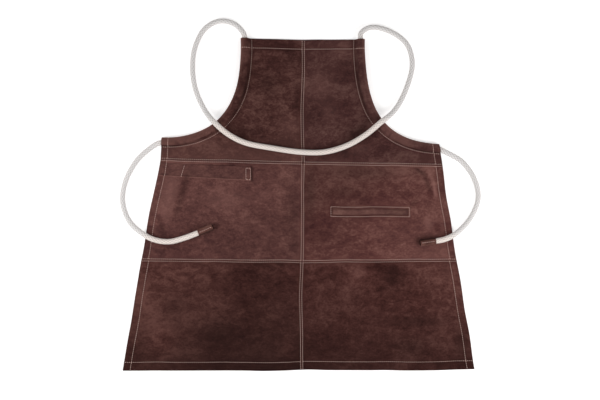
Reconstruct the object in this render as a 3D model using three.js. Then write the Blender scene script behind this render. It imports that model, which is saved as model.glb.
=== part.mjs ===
// Grill apron of suede leather, lying open and face up on a flat surface.
// Millimetres. +X is the photograph's right, +Y runs to the bib's top, +Z is up.
import * as THREE from 'three';
import { mergeVertices } from 'three/addons/utils/BufferGeometryUtils.js';

// Leather and the way it is turned under at every edge.
const LEATHER = 1.4;
const AIR = 0.3;
const LAYER = LEATHER + AIR;
const FLOOR_MID = LEATHER / 2;
const FOLD_ANGLES = [60, 120, 180];
const FOLD_RADIUS = LAYER / 2;
const FOLD_REACH = (FOLD_RADIUS + LEATHER / 2) * Math.sin(Math.PI / 3);
const SEAM_GAP = 0.3;
const CORNER_GAP = 0.5;
const SAG_MARGIN = 3;
const SAG_RUN = 25;

// Widths of the turned strips behind the front.
const SEAM_TURN = 8;
const SIDE_HEM = 16;
const TOP_HEM = 19.5;
const BOTTOM_HEM = 19.5;

// Where the seams and edges lie: the left edge, the centre seam and the right edge.
const LEVELS = {
  hem: { left: [-397, -375], centre: [7.7, -374.3], right: [397, -369] },
  skirt: { left: [-354.5, -126.3], centre: [9, -130.3], right: [355.9, -126.9] },
  waist: { left: [-311.5, 100.6], centre: [10.5, 92.9], right: [322.1, 87.7] },
  top: { left: [-130, 375.6], centre: [11.7, 372], right: [151, 373] },
};

// Armhole edges, as curves from the waist corner to the bib's top corner.
const ARMHOLES = {
  left: { corner: [-308, 151], out: [-160, 146], up: [-126, 252], top: [-130, 375.6] },
  right: { corner: [317, 135], out: [218, 144], up: [147, 181], top: [151, 373] },
};
const CASING_ROWS = 11;
const CASING_WIDTH = 22;
const CASING_TURN = 6;
const MOUTH_BLEND = 0.3;

// The casing's bulge over the rope, an upright oval seen along the casing.
const OVAL = { inset: 10, z: 7.7, halfWidth: 9.3, halfHeight: 7.9 };
const ROPE_IN_CASING = 7.9;
const OVAL_ANGLES = [40, 70, 100, 130, 160, 190, 220, 250];

// Pocket window in the right waist panel, the welt in it and the pouch behind.
const WINDOW = { x0: 77.6, x1: 247.6, y0: -24.9, y1: -10.2 };
const WELT = { x0: 70, x1: 255, y0: -33, y1: -12.5 };
const BAG = { x0: 68, x1: 257, y0: -95, y1: 8, frontTop: -36 };

// Hip strap, from the left side edge to its sewn end.
const STRAP = { left: [[-316.3, 64], [-311.6, 92]], right: [[-107, 53], [-107, 84]] };
const STRAP_ARCH = 1.5;
const STRAP_ROOM = 46;

// Rope and its leather ends.
const ROPE_RADIUS = 6;
const ROPE_SIDES = 10;
const ROPE_STEPS = 88;
const TIP = { bore: 6.5, radius: 7.7, mouthRadius: 7.4, length: 37, grip: 24, sides: 14 };

const LEFT_TIE = [
  { x: -226, y: -65, z: 9.6 },
  { x: -258, y: -77, z: 9.4 },
  { x: -291, y: -85, z: 9.2 },
  { x: -324, y: -81, z: 9.6 },
  { x: -352, y: -67, z: 9.4 },
  { x: -382, y: -39, z: 6.5 },
  { x: -397, y: 4, z: 6.5 },
  { x: -391, y: 50, z: 6.5 },
  { x: -365, y: 98, z: 6.5 },
  { x: -337, y: 124, z: 7 },
  { x: -320, y: 138.5, z: 7.9 },
];
const NECK = [
  { x: -125, y: 388, z: 7.6 },
  { x: -145, y: 407, z: 6.5 },
  { x: -179, y: 413, z: 6.5 },
  { x: -211, y: 396, z: 6.5 },
  { x: -233, y: 355, z: 6.5 },
  { x: -239, y: 308, z: 6.5 },
  { x: -232, y: 258, z: 6.5 },
  { x: -210, y: 210, z: 11 },
  { x: -183, y: 178, z: 25.8 },
  { x: -156, y: 156, z: 16 },
  { x: -120, y: 138.5, z: 9.6 },
  { x: -60, y: 126.5, z: 9 },
  { x: 10, y: 117.5, z: 9.8 },
  { x: 60, y: 118.5, z: 9 },
  { x: 110, y: 134, z: 9.6 },
  { x: 152, y: 157, z: 13.5 },
  { x: 185, y: 183, z: 25.5 },
  { x: 219, y: 213, z: 10 },
  { x: 246, y: 265, z: 6.5 },
  { x: 258, y: 318, z: 6.5 },
  { x: 245, y: 362, z: 6.5 },
  { x: 205, y: 391, z: 6.5 },
  { x: 163, y: 399, z: 6.5 },
  { x: 142, y: 386, z: 7.6 },
];
const RIGHT_TIE = [
  { x: 332, y: 119, z: 7.9 },
  { x: 347, y: 108.5, z: 7 },
  { x: 371, y: 94, z: 6.5 },
  { x: 398, y: 57, z: 6.5 },
  { x: 407, y: 14, z: 6.5 },
  { x: 390, y: -31, z: 6.5 },
  { x: 356, y: -67, z: 10.4 },
  { x: 331, y: -79.5, z: 11.6 },
  { x: 311, y: -83.5, z: 11.6 },
];
const TIP_ENDS = { left: { x: -191, y: -50, z: 9.6 }, right: { x: 275, y: -88.5, z: 11.6 } };

const SUEDE_BIB = 0x4a302d;
const SUEDE_WAIST = 0x583a37;
const SUEDE_SKIRT = 0x442a27;
const SUEDE_TRIM = 0x4e3230;
const COTTON = 0xe6dad5;

const lerp = THREE.MathUtils.lerp;
const radians = THREE.MathUtils.degToRad;
const plan = ([x, y]) => new THREE.Vector2(x, y);
const apron = new THREE.Group();
apron.name = 'grill_apron';

function addMesh(name, geometry, color, roughness) {
  const material = new THREE.MeshStandardMaterial({ color, roughness, metalness: 0 });
  const mesh = new THREE.Mesh(geometry, material);
  mesh.name = name;
  apron.add(mesh);
}

// Patches of the sheet's middle surface, joined where they share points, made into a closed wall.
function thicken(patches, flip) {
  const corners = [];
  for (const rows of patches) {
    for (let j = 0; j + 1 < rows.length; j += 1) {
      for (let i = 0; i + 1 < rows[j].length; i += 1) {
        if (rows[j][i].hole) continue;
        const [a, b, c, d] = [rows[j][i], rows[j][i + 1], rows[j + 1][i + 1], rows[j + 1][i]];
        corners.push(...(flip ? [a, c, b, a, d, c] : [a, b, c, a, c, d]));
      }
    }
  }
  const loose = new THREE.BufferGeometry().setFromPoints(corners);
  const middle = mergeVertices(loose, 1e-4);
  middle.computeVertexNormals();
  const { position, normal } = middle.attributes;
  const count = position.count;
  const walls = [];
  for (const side of [0.5, -0.5]) {
    for (let k = 0; k < count; k += 1) {
      const point = new THREE.Vector3().fromBufferAttribute(position, k);
      const across = new THREE.Vector3().fromBufferAttribute(normal, k);
      walls.push(point.addScaledVector(across, side * LEATHER));
    }
  }
  const index = Array.from(middle.index.array);
  const edges = new Set();
  const faces = [];
  for (let k = 0; k < index.length; k += 3) {
    const [a, b, c] = index.slice(k, k + 3);
    faces.push(a, b, c, a + count, c + count, b + count);
    for (const [from, to] of [[a, b], [b, c], [c, a]]) edges.add(`${from},${to}`);
  }
  for (const edge of edges) {
    const [from, to] = edge.split(',').map(Number);
    if (edges.has(`${to},${from}`)) continue;
    faces.push(to, from, from + count, to, from + count, to + count);
  }
  const solid = new THREE.BufferGeometry().setFromPoints(walls);
  solid.setIndex(faces);
  return solid;
}

// Height of the front's middle surface over layers that lie under it.
function sagHeight(covers) {
  const share = ({ distance, width, layers = 1 }) => {
    const ramp = 1 - (distance - width - SAG_MARGIN) / SAG_RUN;
    return layers * THREE.MathUtils.clamp(ramp, 0, 1);
  };
  return FLOOR_MID + LAYER * Math.max(...covers.map(share));
}

function distanceToLine(point, a, b) {
  const along = b.clone().sub(a).normalize();
  return Math.abs(along.cross(point.clone().sub(a)));
}

// A four-sided outline moved in by one distance for each of its sides.
function insetQuad(corners, insets) {
  const sides = corners.map((a, k) => {
    const along = corners[(k + 1) % 4].clone().sub(a).normalize();
    const inward = new THREE.Vector2(-along.y, along.x);
    return { start: a.clone().addScaledVector(inward, insets[k]), along };
  });
  return sides.map((side, k) => {
    const before = sides[(k + 3) % 4];
    const reach = before.start.clone().sub(side.start).cross(before.along);
    return side.start.clone().addScaledVector(side.along, reach / side.along.cross(before.along));
  });
}

// Lines of an edge turned under: half round the fold, then flat to the strip's end.
function turnEdge(edge, outward, width, start, end) {
  const last = edge.length - 1;
  const along = edge[last].clone().sub(edge[0]);
  const span = along.length();
  along.normalize();
  const lines = [edge];
  for (const angle of FOLD_ANGLES.map(radians)) {
    lines.push(edge.map((point, k) => {
      const shift = k === 0 ? start.gap : k === last ? -end.gap : 0;
      const turned = point.clone().addScaledVector(along, shift);
      turned.addScaledVector(outward, FOLD_RADIUS * Math.sin(angle));
      turned.z += FOLD_RADIUS * (Math.cos(angle) - 1);
      return turned;
    }));
  }
  lines.push(edge.map((point) => {
    const share = point.distanceTo(edge[0]) / span;
    const cut = lerp(start.gap + start.width, -end.gap - end.width, share);
    const inner = point.clone().addScaledVector(along, cut).addScaledVector(outward, -width);
    inner.z -= 2 * FOLD_RADIUS;
    return inner;
  }));
  return lines;
}

const transpose = (lines) => lines[0].map((_, k) => lines.map((line) => line[k]));
const cornerCut = (width) => ({ gap: CORNER_GAP, width });

function outwardOf(edge, inside) {
  const along = edge.at(-1).clone().sub(edge[0]).normalize();
  const outward = new THREE.Vector3(along.y, -along.x, 0).normalize();
  const side = outward.dot(inside.clone().sub(edge[0]));
  return side > 0 ? outward.negate() : outward;
}

// Fractions of a span at which the sheet has a line: full height over each strip, then the sag.
function sagLines(span, first, last) {
  const near = [first + SAG_MARGIN, first + SAG_MARGIN + SAG_RUN].map((d) => d / span);
  const far = [last + SAG_MARGIN + SAG_RUN, last + SAG_MARGIN].map((d) => 1 - d / span);
  return [0, ...near, 0.5, ...far, 1];
}

// A four-sided panel, its corners given around it from the bottom at the centre seam.
function panel({ corners, side, turns, covers = [], columns, rows, hole }) {
  const ring = side > 0 ? corners : [corners[1], corners[0], corners[3], corners[2]];
  const flat = side > 0 ? turns : [turns[0], turns[3], turns[2], turns[1]];
  const insets = flat.map(({ seam }) => FOLD_REACH + (seam ? SEAM_GAP / 2 : 0));
  const [p, q, r, s] = insetQuad(ring, insets);
  const spanX = p.distanceTo(q);
  const spanY = p.distanceTo(s);
  const across = columns ? columns(p.clone().lerp(s, 0.5), q.clone().lerp(r, 0.5))
    : sagLines(spanX, flat[3].room, flat[1].room);
  const up = rows ? rows(p.clone().lerp(q, 0.5), s.clone().lerp(r, 0.5))
    : sagLines(spanY, flat[0].room, flat[2].room);
  const ends = [[p, q], [q, r], [r, s], [s, p]];
  const main = up.map((v) => across.map((u) => {
    const at = p.clone().lerp(q, u).lerp(s.clone().lerp(r, u), v);
    const edges = ends.map(([a, b], k) => ({ distance: distanceToLine(at, a, b), width: flat[k].room }));
    const under = covers.map((box) => ({ ...box, distance: distanceToBox(at, box) }));
    return new THREE.Vector3(at.x, at.y, sagHeight([...edges, ...under]));
  }));
  if (hole) main[hole.row][hole.column].hole = true;
  const middle = main[3][3];
  const strip = (edge, k) => {
    const before = cornerCut(flat[k === 0 || k === 2 ? 3 : 0].width);
    const after = cornerCut(flat[k === 0 || k === 2 ? 1 : 2].width);
    return turnEdge(edge, outwardOf(edge, middle), flat[k].width, before, after);
  };
  const column = (k) => main.map((row) => row.at(k));
  const patches = [
    main,
    strip(main[0], 0).reverse(),
    strip(main.at(-1), 2),
    transpose(strip(column(-1), 1)),
    transpose(strip(column(0), 3).reverse()),
  ];
  return thicken(patches, false);
}

function distanceToBox(at, { x0, x1, y0, y1 }) {
  const dx = Math.max(x0 - at.x, at.x - x1, 0);
  const dy = Math.max(y0 - at.y, at.y - y1, 0);
  return Math.hypot(dx, dy);
}

// Armhole edge with, at each share of its length, the way from the edge into the leather.
function armhole(name) {
  const { corner, out, up, top } = ARMHOLES[name];
  const edge = new THREE.CubicBezierCurve(plan(corner), plan(out), plan(up), plan(top));
  const turn = name === 'left' ? -1 : 1;
  const mouth = plan(LEVELS.waist[name]).sub(plan(corner)).normalize();
  const hem = plan(LEVELS.top.centre).sub(plan(top)).normalize();
  const inward = (share) => {
    const tangent = edge.getTangentAt(share);
    const square = new THREE.Vector2(-tangent.y, tangent.x).multiplyScalar(turn);
    const low = Math.max(0, 1 - share / MOUTH_BLEND);
    const high = Math.max(0, 1 - (1 - share) / MOUTH_BLEND);
    return square.lerp(mouth, low * low).lerp(hem, high * high).normalize();
  };
  const inset = FOLD_REACH / edge.getLength();
  const at = (share) => {
    const inside = lerp(inset, 1 - inset, share);
    return { edge: edge.getPointAt(inside), inward: inward(inside) };
  };
  return { at, length: edge.getLength() };
}

// Points around the casing, from the stitch line over the rope and back under to the strip's end.
function casingRow({ edge, inward }) {
  const points = OVAL_ANGLES.map(radians).map((angle) => {
    const depth = OVAL.inset + OVAL.halfWidth * Math.cos(angle);
    const height = OVAL.z + OVAL.halfHeight * Math.sin(angle);
    return { depth, height: Math.max(height, FLOOR_MID) };
  });
  points.unshift({ depth: CASING_WIDTH, height: FLOOR_MID + LAYER });
  points.push({ depth: CASING_WIDTH, height: FLOOR_MID });
  points.push({ depth: CASING_WIDTH + CASING_TURN, height: FLOOR_MID });
  return points.map(({ depth, height }) => {
    const at = edge.clone().addScaledVector(inward, depth);
    return new THREE.Vector3(at.x, at.y, height);
  });
}

function bib(name) {
  const flip = name === 'left';
  const hole = armhole(name);
  const hemShare = (TOP_HEM + SAG_MARGIN) / hole.length;
  const shares = Array.from({ length: CASING_ROWS }, (_, k) => (1 - hemShare) * k / (CASING_ROWS - 1));
  const casing = [...shares, 1].map((share) => casingRow(hole.at(share)));
  const stitch = casing.map((row) => row[0]);
  const [waistCentre, waistSide] = [plan(LEVELS.waist.centre), plan(LEVELS.waist[name])];
  const [topCentre, topSide] = [plan(LEVELS.top.centre), plan(LEVELS.top[name])];
  const around = [waistCentre, waistSide, plan([stitch[0].x, stitch[0].y]), topCentre];
  const ring = flip ? [around[1], around[0], around[3], around[2]] : around;
  const seam = FOLD_REACH + SEAM_GAP / 2;
  const inset = insetQuad(ring, flip ? [seam, seam, 0, FOLD_REACH] : [seam, FOLD_REACH, 0, seam]);
  const [low, side] = flip ? [inset[1], inset[0]] : [inset[0], inset[1]];
  const inward = flip ? 1 : -1;
  const high = topCentre.clone().add(new THREE.Vector2(-inward * seam, -FOLD_REACH));

  // The outer ends of the rows: three on the side edge, the rest on the casing's stitch line.
  const sideStep = (SEAM_TURN + SAG_MARGIN) / side.distanceTo(around[2]);
  const outer = [side, side.clone().lerp(around[2], sideStep), ...stitch.map((p) => plan([p.x, p.y]))];
  const drop = (p) => distanceToLine(p, waistCentre, waistSide);
  const fullDrop = drop(outer.at(-1));
  const inner = outer.map((p, k) => {
    const share = k < 2 ? drop(p) / fullDrop : lerp(0.09, 1, (drop(p) - drop(outer[2])) / (fullDrop - drop(outer[2])));
    return low.clone().lerp(high, k === 0 ? 0 : share);
  });
  const main = outer.map((end, k) => {
    const span = inner[k].distanceTo(end);
    return sagLines(span, SEAM_TURN, SIDE_HEM).map((share) => {
      const at = inner[k].clone().lerp(end, share);
      const covers = [
        { distance: span * share, width: SEAM_TURN },
        { distance: span * (1 - share), width: SIDE_HEM },
        { distance: distanceToLine(at, waistCentre, waistSide), width: SEAM_TURN },
        { distance: distanceToLine(at, topCentre, topSide), width: TOP_HEM },
      ];
      return new THREE.Vector3(at.x, at.y, sagHeight(covers));
    });
  });

  const middle = main[6][3];
  const centreEdge = main.map((row) => row[0]);
  const sideEdge = main.slice(0, 3).map((row) => row.at(-1));
  const strip = (edge, width, start, end) => turnEdge(edge, outwardOf(edge, middle), width, start, end);
  const atCasing = { gap: CASING_TURN + CORNER_GAP, width: 0 };
  const patches = [
    main,
    casing,
    transpose(strip(centreEdge, SEAM_TURN, cornerCut(SEAM_TURN), cornerCut(TOP_HEM)).reverse()),
    strip(main[0], SEAM_TURN, cornerCut(SEAM_TURN), cornerCut(SIDE_HEM)).reverse(),
    strip(main.at(-1), TOP_HEM, cornerCut(SEAM_TURN), atCasing),
    transpose(strip(sideEdge, SIDE_HEM, cornerCut(SEAM_TURN), atCasing)),
  ];
  return thicken(patches, flip);
}

addMesh('bib_left', bib('left'), SUEDE_BIB, 0.92);
addMesh('bib_right', bib('right'), SUEDE_BIB, 0.92);

// Waist and skirt panels. A turn's room is how far in the front stays up on the layers under it.
const seamTurn = { width: SEAM_TURN, room: SEAM_TURN, seam: true };
const sideTurn = { width: SIDE_HEM, room: SIDE_HEM };
const hemTurn = { width: BOTTOM_HEM, room: BOTTOM_HEM };
const strapTurn = { width: SEAM_TURN, room: STRAP_ROOM, seam: true };
const between = (low, high, name) => [low.centre, low[name], high[name], high.centre].map(plan);
const { hem, skirt, waist } = LEVELS;


// Lines of the right waist panel, in millimetres along its middle: they follow the pocket.
const sharesOf = (a, b, stops) => [0, ...stops.map((stop) => (stop - a) / (b - a)), 1];
const bagRoom = { ...BAG, width: 4, layers: 2 };
const pocketColumns = (centre, edge) => sharesOf(centre.x, edge.x, [
  BAG.x0 - 25, BAG.x0 - 6, WINDOW.x0, WINDOW.x1, BAG.x1 + 6, BAG.x1 + 31, edge.x - 19,
]);
const pocketRows = (bottom, top) => sharesOf(bottom.y, top.y, [
  bottom.y + 11, BAG.y0 - 7, -60, WINDOW.y0, WINDOW.y1, BAG.y1 + 6, BAG.y1 + 31, top.y - 11,
]);

const waistTurns = [seamTurn, sideTurn, seamTurn, seamTurn];
const waistLeft = { corners: between(skirt, waist, 'left'), side: -1 };
const waistRight = { corners: between(skirt, waist, 'right'), side: 1, turns: waistTurns };
const skirtTurns = [hemTurn, sideTurn, seamTurn, seamTurn];

addMesh('waist_left', panel({ ...waistLeft, turns: [seamTurn, sideTurn, strapTurn, seamTurn] }),
  SUEDE_WAIST, 0.92);
addMesh('waist_right', panel({
  ...waistRight, covers: [bagRoom], columns: pocketColumns, rows: pocketRows, hole: { row: 4, column: 3 },
}), SUEDE_WAIST, 0.92);
addMesh('skirt_left', panel({ corners: between(hem, skirt, 'left'), side: -1, turns: skirtTurns }),
  SUEDE_SKIRT, 0.92);
addMesh('skirt_right', panel({ corners: between(hem, skirt, 'right'), side: 1, turns: skirtTurns }),
  SUEDE_SKIRT, 0.92);

// Hip strap, sewn down at both ends and a little proud between them.
function strap() {
  const stops = [0, 0.16, 0.3, 0.48, 0.66, 0.9, 1];
  const base = FLOOR_MID + 2 * LAYER;
  const rows = [0, 1].map((edge) => stops.map((share) => {
    const at = plan(STRAP.left[edge]).lerp(plan(STRAP.right[edge]), share);
    const loose = THREE.MathUtils.clamp((share - 0.16) / 0.74, 0, 1);
    return new THREE.Vector3(at.x, at.y, base + STRAP_ARCH * Math.sin(Math.PI * loose));
  }));
  return thicken([rows], false);
}
addMesh('hip_strap', strap(), SUEDE_TRIM, 0.9);

// Welt strip in the pocket window, and the pouch: its front wall turned under at the bottom.
function flatSheet({ x0, x1, y0, y1 }, height) {
  return [y0, y1].map((y) => [x0, x1].map((x) => new THREE.Vector3(x, y, height)));
}
addMesh('pocket_welt', thicken([flatSheet(WELT, FLOOR_MID + LAYER)], false), SUEDE_TRIM, 0.9);
const pouchFront = flatSheet({ ...BAG, y1: BAG.frontTop }, FLOOR_MID + LAYER);
const noCut = { gap: 0, width: 0 };
const pouchBack = turnEdge(pouchFront[0], new THREE.Vector3(0, -1, 0), BAG.y1 - BAG.y0, noCut, noCut);
addMesh('pocket_bag', thicken([pouchFront, pouchBack.reverse()], false), SUEDE_TRIM, 0.95);

// Rope: left tie, left casing, neck loop, right casing and right tie in one run.
const place = ({ x, y, z }) => new THREE.Vector3(x, y, z);
function casingRoute(name) {
  const hole = armhole(name);
  return [0, 0.2, 0.4, 0.6, 0.8, 1].map((share) => {
    const { edge, inward } = hole.at(share);
    const at = edge.addScaledVector(inward, OVAL.inset);
    return new THREE.Vector3(at.x, at.y, ROPE_IN_CASING);
  });
}
function tipAxis(mouth, end) {
  return place(end).sub(place(mouth)).normalize();
}
const leftAxis = tipAxis(LEFT_TIE[0], TIP_ENDS.left);
const rightAxis = tipAxis(RIGHT_TIE.at(-1), TIP_ENDS.right);
const gripEnds = (mouth, axis) => [1, 0.5].map((share) => place(mouth).addScaledVector(axis, TIP.grip * share));
const route = [
  ...gripEnds(LEFT_TIE[0], leftAxis),
  ...LEFT_TIE.map(place),
  ...casingRoute('left'),
  ...NECK.map(place),
  ...casingRoute('right').reverse(),
  ...RIGHT_TIE.map(place),
  ...gripEnds(RIGHT_TIE.at(-1), rightAxis).reverse(),
];
const ring = new THREE.EllipseCurve(0, 0, ROPE_RADIUS, ROPE_RADIUS).getPoints(ROPE_SIDES);
const section = new THREE.Shape(ring.slice(1));
const ropePath = new THREE.CatmullRomCurve3(route, false, 'centripetal');
ropePath.arcLengthDivisions = 1200;
const rope = new THREE.ExtrudeGeometry(section, {
  steps: ROPE_STEPS, extrudePath: ropePath, bevelEnabled: false,
});
addMesh('rope', rope, COTTON, 0.95);

// Leather sleeves on the rope's ends, open where they look away from it.
function tip(mouth, axis) {
  const profile = [
    [TIP.bore, 0], [TIP.mouthRadius, 0], [TIP.radius, 3], [TIP.radius, TIP.length - 2],
    [TIP.radius - 0.4, TIP.length], [TIP.bore, TIP.length], [TIP.bore, 0],
  ];
  const sleeve = new THREE.LatheGeometry(profile.map(plan), TIP.sides);
  sleeve.applyQuaternion(new THREE.Quaternion().setFromUnitVectors(new THREE.Vector3(0, 1, 0), axis));
  const at = place(mouth);
  return sleeve.translate(at.x, at.y, at.z);
}
addMesh('tip_left', tip(LEFT_TIE[0], leftAxis), SUEDE_TRIM, 0.85);
addMesh('tip_right', tip(RIGHT_TIE.at(-1), rightAxis), SUEDE_TRIM, 0.85);

export default apron;
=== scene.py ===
import math

import bpy
import numpy as np
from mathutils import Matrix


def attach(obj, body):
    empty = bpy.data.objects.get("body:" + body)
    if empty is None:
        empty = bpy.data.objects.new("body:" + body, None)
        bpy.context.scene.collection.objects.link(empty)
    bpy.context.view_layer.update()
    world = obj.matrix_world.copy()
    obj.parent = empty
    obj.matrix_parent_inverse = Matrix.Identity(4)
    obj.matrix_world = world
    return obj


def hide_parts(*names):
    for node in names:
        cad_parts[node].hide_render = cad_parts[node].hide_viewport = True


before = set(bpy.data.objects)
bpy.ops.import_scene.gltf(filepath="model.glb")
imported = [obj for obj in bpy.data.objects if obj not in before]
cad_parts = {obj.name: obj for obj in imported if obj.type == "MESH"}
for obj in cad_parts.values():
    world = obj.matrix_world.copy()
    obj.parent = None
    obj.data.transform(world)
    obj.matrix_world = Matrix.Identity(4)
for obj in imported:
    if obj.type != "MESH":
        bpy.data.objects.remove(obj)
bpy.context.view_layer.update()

# The white table that the apron is photographed on, from straight above.
# It is a matt opal board that is also lit from below, so that shadows on it stay faint.
HALF_TABLE, TABLE_Z = 6000, -0.1
# The pieces are drawn in millimetres. The scene, its camera and its lamps are in metres.
MM = 0.001
scene = bpy.context.scene


def linear(code):
    """Linear colour of an sRGB hex value."""
    parts = [int(code[k:k + 2], 16) / 255 for k in (1, 3, 5)]
    return tuple(c / 12.92 if c <= 0.04045 else ((c + 0.055) / 1.055) ** 2.4 for c in parts) + (1.0,)


def add_node(tree, kind, inputs=None, links=None, **settings):
    """Adds a shader node with settings and input values, and links inputs to (node, output)."""
    node = tree.nodes.new("ShaderNode" + kind)
    for key, value in settings.items():
        setattr(node, key, value)
    for key, value in (inputs or {}).items():
        node.inputs[key].default_value = value
    for key, (source, output) in (links or {}).items():
        tree.links.new(source.outputs[output], node.inputs[key])
    return node


def new_material(name):
    """A node material with nothing in it yet, and its node tree."""
    material = bpy.data.materials.new(name)
    material.use_nodes = True
    material.node_tree.nodes.clear()
    return material, material.node_tree


def add_shader(tree, inputs, links=None):
    """Adds a material's surface shader and its output."""
    shader = add_node(tree, "BsdfPrincipled", inputs, links)
    add_node(tree, "OutputMaterial", links={0: (shader, 0)})


def add_object(name, points, faces, material, sharp=55):
    """Mesh object from points in millimetres, smooth but for edges sharper than an angle."""
    mesh = bpy.data.meshes.new(name)
    mesh.from_pydata((np.asarray(points) * MM).tolist(), [], [list(map(int, f)) for f in faces])
    mesh.validate()
    mesh.shade_smooth()
    mesh.set_sharp_from_angle(angle=math.radians(sharp))
    mesh.materials.append(material)
    piece = bpy.data.objects.new(name, mesh)
    scene.collection.objects.link(piece)
    return piece


# Opal acrylic: matt, with a soft even glow of its own.
opal, tree = new_material("opal_acrylic")
add_shader(tree, {"Base Color": linear("#F6F5F4"), "Roughness": 0.85, "IOR": 1.49,
                  "Emission Color": linear("#FFFFFF"), "Emission Strength": 0.45})
corners = [(HALF_TABLE * x, HALF_TABLE * y, TABLE_Z) for x, y in ((-1, -1), (1, -1), (1, 1), (-1, 1))]
table = add_object("table", corners, [(0, 1, 2, 3)], opal)

# The camera looks straight down. One pixel of the 600 x 400 frame is 2.266 mm on the table.
FRAME_WIDTH, PIXEL = 600, 0.002266
FRAME_MIDDLE = 0.004, 0.009
LENS, SENSOR = 85, 36
camera = bpy.data.objects.new("camera", bpy.data.cameras.new("camera"))
camera.data.lens = LENS
camera.data.sensor_width = SENSOR
camera.data.clip_end = 50
camera.location = (*FRAME_MIDDLE, FRAME_WIDTH * PIXEL * LENS / SENSOR)
scene.collection.objects.link(camera)
scene.camera = camera

# Two soft boxes, one at the left and one at the lower right, and a white room all round.
# Each has its place and its power.
SOFT_BOXES = [(-1.3, -0.2, 1.0, 14), (1.2, -0.6, 1.05, 16)]
for x, y, z, power in SOFT_BOXES:
    lamp = bpy.data.lights.new("soft_box", "AREA")
    lamp.shape = "RECTANGLE"
    lamp.size = 1.0
    lamp.size_y = 0.9
    lamp.energy = power
    soft_box = bpy.data.objects.new("soft_box", lamp)
    soft_box.location = (x, y, z)
    soft_box.rotation_euler = (math.atan2(math.hypot(x, y), z), 0, math.atan2(x, -y))
    scene.collection.objects.link(soft_box)
world = bpy.data.worlds.new("white_room")
world.use_nodes = True
background = world.node_tree.nodes["Background"]
background.inputs["Color"].default_value = linear("#FFFFFF")
background.inputs["Strength"].default_value = 0.32
scene.world = world
scene.view_settings.view_transform = "Standard"

# The bib: two panels of dark brown suede split leather, cut to the armholes' curve.
# Every edge is turned under and stitched. Along each armhole the turn is a casing, open at
# both ends, that the rope runs through, so it stands up as a round welt.

# The leather's thickness, the step from one layer to the next, the middle of the sheet, and the
# radius of a fold and how far it stands out.
LEATHER = 1.4
LAYER = LEATHER + 0.3
MID = LEATHER / 2
FOLD = LAYER / 2
REACH = FOLD + MID
# Widths of the strips turned under, how far down the stitches of the top hem are, how far apart
# two strips stay at a corner, and how far a fold runs on past it.
SEAM_TURN, SIDE_HEM, TOP_HEM, BOTTOM_HEM = 8, 16, 23, 19.5
TOP_STITCH = 21.5
CORNER, PAST = 0.5, -REACH

# Where seams and edges meet, from the hem up, and each armhole as a curve of four points.
PATTERN = {
    "hem": {"left": (-397, -375), "centre": (7.7, -374.3), "right": (397, -369)},
    "skirt": {"left": (-354.5, -126.3), "centre": (9, -130.3), "right": (355.9, -126.9)},
    "waist": {"left": (-311.5, 100.6), "centre": (10.5, 92.9), "right": (322.1, 87.7)},
    "top": {"left": (-130, 375.6), "centre": (11.7, 372), "right": (151, 373)},
}
ARMHOLE = {
    "left": ((-308, 151), (-160, 146), (-126, 252), (-130, 375.6)),
    "right": ((317, 135), (218, 144), (147, 181), (151, 373)),
}
# A casing's width up to its stitches, the strip past them, the row of stitches at its mouth, and
# its oval round the rope: how far in and how high its middle is, and its half sizes.
CASING_WIDTH, CASING_TURN, MOUTH_STITCH = 22, 6, 15
OVAL_INSET, OVAL_Z, OVAL_HALF_WIDTH, OVAL_HALF_HEIGHT = 10, 7.7, 9.3, 7.9
# How pale the nap lies on a casing, at shares of the way from the waist to the bib's top.
CASING_NAP = {
    "left": [(0, 0.32), (0.2, 0.25), (0.32, 0.12), (0.5, -0.1), (0.74, -0.22), (0.86, 0.1), (1, 0.1)],
    "right": [(0, 0), (0.16, 0.02), (0.22, 0.28), (0.36, 0.26), (0.46, 0), (0.7, -0.06), (1, -0.06)],
}
# Paler and darker places of the hide: middle, half sizes, and how pale, or dark below 0. The third
# place of each half is a painted shadow that the rope casts above itself on the bib. And how much
# paler the bib is along the waist.
BIB_PLACES_AND_SHADOWS = {
    "left": [(-18, 335, 28, 26, -0.24), (-68, 274, 28, 26, -0.3), (-108, 163, 36, 12, -0.35),
        (-1, 246, 10, 32, -0.2), (-18, 178, 30, 22, 0.18)],
    "right": [(50, 268, 30, 34, 0.2), (33, 195, 20, 20, -0.15), (135, 163, 30, 14, -0.4),
        (190, 112, 70, 18, -0.08), (105, 352, 45, 26, 0.12), (142, 124, 22, 12, 0.16),
        (70, 206, 20, 18, 0.14)],
}
LOW_NAP = {"left": 0.2, "right": 0.06}

# Folds that stand off the table: start, end, half width and height. Then painted light and shade of
# folds: start, end, half width, and how pale, or dark below 0, it is painted there.
FOLDS = [((-279, 72), (-308, -44), 11, 6.5), ((296, 80), (312, 10), 6, 3.6),
         ((280, 48), (298, -40), 7, 2.6)]
FOLD_LIGHT_AND_SHADE = [
    ((-277, 72), (-306, -52), 17, 0.24), ((-245, 84), (-283, -44), 8, -0.5),
    ((-318, -24), (-301, -72), 6, -0.5), ((292, 82), (308, 42), 4, 0.5),
    ((305, 50), (312, 14), 3.5, 0.65), ((284, 74), (303, 16), 5, -0.5),
    ((264, 84), (284, 66), 4, -0.5), ((243, 66), (248, 34), 4, 0.25),
    ((272, 8), (252, -4), 5, -0.35), ((286, -30), (300, -58), 9, 0.3),
    ((312, -44), (318, -64), 5, -0.4),
]

# Distances in from a turned edge where the sheet has a line, close together near the stitches,
# and which of those lines carry the stitches of a seam, a side hem, a skirt's side and its bottom.
NEAR = np.array([0, 0.85, 1.8, 3, 4.6, 7, 9.5, 11.8, 13.5, 15.3, 17.5, 20, 23.5, 28])
SEAM_LINE, SIDE_LINE, SKIRT_LINE, HEM_LINE = 1, 8, 9, 10
# How much painted shade darkens the dip of a row of stitches, for each millimetre of it.
DIP_SHADE = 0.8


def corner_of(level, end):
    """A corner of the pattern, in plan."""
    return np.array(PATTERN[level][end], float)


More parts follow.
